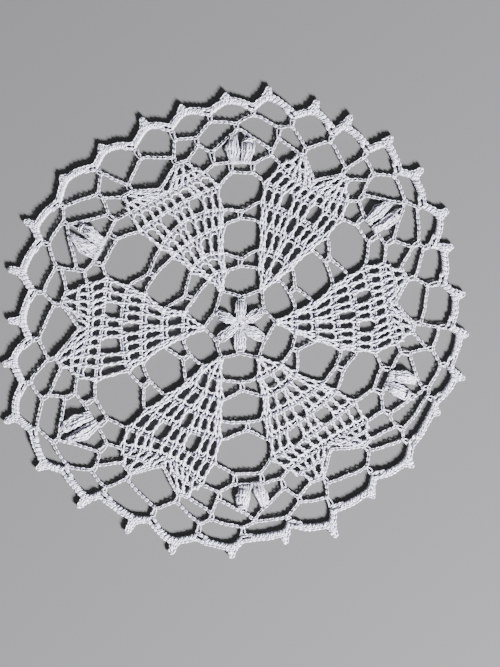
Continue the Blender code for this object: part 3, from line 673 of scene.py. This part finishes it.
threads = []
for gap in range(REPEATS):
    for inner, outer in ((2, 3), (4, 5)):
        low, foot, high = np.reshape(ROUNDS[inner][gap], (3, 2))
        threads += [chain(hung(at(*low), at(*foot))), chain(hung(at(*high), at(*foot)))]
        low, top, high = np.reshape(ROUNDS[outer][gap], (3, 2))
        stitches, right, left = tied(foot, top)
        threads += [*stitches, chain(hung(at(*low), right)), chain(hung(at(*high), left))]
    corner, peak, leg, turns, (foot, top), high_peak, high_leg, high_corner = SEVENTH[gap]
    low, _, high = np.reshape(ROUNDS[6][gap], (3, 2))
    feet = [at(turn, foot) for turn in turns]
    threads += [chain(hung(at(*low), feet[0])), chain(line(*feet)), chain(hung(at(*high), feet[1]))]
    posts = [tied((turn, foot), (turn, top)) for turn in turns]
    threads += [thread for stitches, _, _ in posts for thread in stitches]
    threads += [chain(line(at(*corner), at(*peak))), chain(line(at(*high_peak), at(*high_corner)))]
    for start, end in ((at(*peak), posts[0][1]), (posts[0][2], posts[1][1]), (posts[1][2], at(*high_peak))):
        threads.append(chain(line(start, end)))

    shoulder, crest, crest_tie, high_shoulder, high_crest, high_crest_tie = EIGHTH[gap]
    turn, roof, crown, crown_tie, *_ = LEAVES[gap]
    roof = [beside(turn, reach, aside) for aside, reach in roof]
    low_leg, high_leg = tied(peak, (peak[0], leg)), tied(high_peak, (high_peak[0], high_leg))
    threads += [*low_leg[0], *high_leg[0], chain(line(low_leg[2], *roof, high_leg[1]))]
    for points in ((at(*shoulder), at(*crest)), (at(*crest), low_leg[1]), (high_leg[2], at(*high_crest)),
                   (at(*high_crest), at(*high_shoulder))):
        threads.append(chain(line(*points)))

    crown, crown_tie = from_line(turn, *crown), from_line(turn, *crown_tie)
    joints = [tied(crest, (crest[0], crest_tie)), tied(crown, crown_tie),
              tied(high_crest, (high_crest[0], high_crest_tie))]
    threads += [thread for stitches, _, _ in joints for thread in stitches]
    tips = [at(*FANS[gap][5]), *(at(*point) for point in FANS[(gap + 1) % REPEATS][4:6])]
    starts = [tips[0], *(joint[2] for joint in joints), tips[1]]
    stops = [*(joint[1] for joint in joints), tips[1], tips[2]]
    for step, (start, stop) in enumerate(zip(starts, stops)):
        turn, foot, top = BORDER[(gap * ARCHES + step + 1) % len(BORDER)][0:3]
        threads.append(chain(bowed(start, at(turn, foot), stop)))
        threads += tied((turn, foot), (turn, top))[0]
crochet("net", [(paths, THREAD) for paths in threads], cotton)


# Border. Thirty arches of cotton chain, covered with close stitches wound round two cords. Their tops make a
# chain along the rim. The start of each arch is left bare, and each carries one small solid point.

BAND = 2.9                 # mm, width of the border
CLOSE_PITCH = 1.75         # mm, from one close stitch to the next
DOUBLED = (0.0, 0.37)      # shares of the pitch at which the two threads of a close stitch lie
BARE = 3.1                 # mm, from an arch's leg to its first close stitch
HALF_WAY = 0.45            # share of the turn from an arch's leg to its point, where its line is guided
BULGE = 0.62               # share of the reach from its leg to its point that the arch has gained there
RIM_ASIDE = -0.9           # mm, from the band's middle out to the chain along the rim
BARE_ASIDE = 1.05          # mm, from the band's middle in to the chain that carries the close stitches
CORES = (0.45, -0.3)       # mm, from the band's middle in to the cords under the close stitches
CORE = 1.3                 # mm, thickness of such a cord
CLOSE_THREAD = 0.68        # mm, thickness of the border's threads
POINT_FILL = (-0.35, 0.35) # mm aside, the long stitches that fill a point
CLOSE_STEPS = 11           # steps of a close stitch's mesh
EVEN_POINTS = 24           # points of a line laid parallel to another
BARE_POINTS = 6            # of those, the ones along an arch's bare part and a little on

# One close stitch, wound round the covered cords: share of the pitch, mm aside of the band's middle
# (inwards), mm up
CLOSE_STITCH = np.array((
    (-0.05, -0.85, 0.42), (0.00, -0.75, 1.00), (0.28, -0.10, 1.45), (0.58, 0.60, 1.30), (0.72, 0.98, 0.85),
    (0.80, 0.80, 0.40), (0.88, 0.10, 0.34),
))


def close_stitches(path, shift):
    """Close stitches along a flat line from its bare part on: the points of one, repeated at the pitch."""
    covered = length(path) - BARE
    count = round(covered / CLOSE_PITCH)
    share, aside, height = CLOSE_STITCH.T
    start = np.arange(count)[:, None] + rng.uniform(-0.08, 0.08, (count, 1))
    uneven = rng.uniform(-0.09, 0.09, (count, 1))
    place = BARE + (start + shift + share) * covered / count
    points = lay(path, place, aside * (1 + uneven), height * (1 + uneven)).reshape(1, -1, 3)
    return smooth(points, CLOSE_STEPS * count)


def parallel(path, aside, first=0.0):
    """Flat line at mm aside of a flat line, from `first` mm along it to its end."""
    return lay(path, np.linspace(first, length(path), EVEN_POINTS), aside, 0.0)[:, 0:2]


threads, cores = [], []
for number, (turn, _, top, point_turn, inner, point) in enumerate(BORDER):
    next_turn, _, next_top = BORDER[(number + 1) % len(BORDER)][0:3]
    next_turn += 360 * (next_turn < turn)
    middle = BAND / 2
    slope = at(turn + HALF_WAY * (point_turn - turn), top + BULGE * (inner - top) + middle)
    path = line(at(turn, top + middle - 0.3), slope, at(point_turn, inner + middle),
                at(next_turn, next_top + middle - 0.3))
    threads += [close_stitches(path, shift) for shift in DOUBLED]
    threads.append(chain(parallel(path, RIM_ASIDE), pitch=CLOSE_PITCH, width=0.75, up=0.3))
    threads.append(chain(parallel(path, BARE_ASIDE)[:BARE_POINTS], width=0.6, up=0.1))
    for aside in CORES:
        core = parallel(path, aside, BARE - 0.5)
        cores.append(np.hstack((core, np.full((len(core), 1), LAYER))))
    crest = inner + BAND
    point_line = line(beside(point_turn, crest - 0.9, -2.0), beside(point_turn, crest + 0.5, -1.0),
                      beside(point_turn, point - 1.4, -0.65), beside(point_turn, point - 0.6, 0.0),
                      beside(point_turn, point - 1.4, 0.65), beside(point_turn, crest + 0.5, 1.0),
                      beside(point_turn, crest - 0.9, 2.0))
    threads.append(chain(point_line, pitch=1.5, width=0.8, up=0.2))
    for aside in POINT_FILL:
        filler = line(beside(point_turn, crest - 1.0, 1.3 * aside), beside(point_turn, point - 1.3, aside))
        threads += long_stitch(filler, up=0.3)
crochet("border", [(paths, CLOSE_THREAD) for paths in threads] + [(cores, CORE)], cotton)


# Room. A plain pale table top, a soft key light from the lower right with a weak fill, and a camera straight
# above.

VIEW_CENTRE = (4.0, -3.5)      # mm, point of the table under the camera
VIEW_HEIGHT = 256.8            # mm of the table from the bottom of the view to its top
CAMERA_HEIGHT = 0.55           # m
SENSOR = 36.0                  # mm

bpy.ops.mesh.primitive_plane_add(size=4.0)
floor = bpy.context.object
floor.name = "table_top"
table = bpy.data.materials.new("table_top")
table.use_nodes = True
table.node_tree.nodes["Principled BSDF"].inputs["Base Color"].default_value = (0.115, 0.115, 0.12, 1.0)
table.node_tree.nodes["Principled BSDF"].inputs["Roughness"].default_value = 0.9
table.node_tree.nodes["Principled BSDF"].inputs["Specular IOR Level"].default_value = 0.2
floor.data.materials.append(table)


def area_light(name, place, size, power):
    """Square soft light at a place, facing the doily's centre."""
    data = bpy.data.lights.new(name, "AREA")
    data.size = size
    data.energy = power
    light = bpy.data.objects.new(name, data)
    light.location = place
    toward = -light.location
    light.rotation_euler = toward.to_track_quat("-Z", "Y").to_euler()
    bpy.context.scene.collection.objects.link(light)


area_light("key", (0.9, -1.1, 0.72), 0.32, 205.0)
area_light("fill", (-0.8, 1.0, 1.4), 1.2, 6.0)
world = bpy.data.worlds.new("room")
world.use_nodes = True
world.node_tree.nodes["Background"].inputs["Color"].default_value = (0.9, 0.95, 1.0, 1.0)
world.node_tree.nodes["Background"].inputs["Strength"].default_value = 0.12
bpy.context.scene.world = world

camera_data = bpy.data.cameras.new("camera")
camera_data.sensor_width = SENSOR
camera_data.lens = SENSOR * CAMERA_HEIGHT / (VIEW_HEIGHT * MM)
camera = bpy.data.objects.new("camera", camera_data)
camera.location = (VIEW_CENTRE[0] * MM, VIEW_CENTRE[1] * MM, CAMERA_HEIGHT)
bpy.context.scene.collection.objects.link(camera)
bpy.context.scene.camera = camera
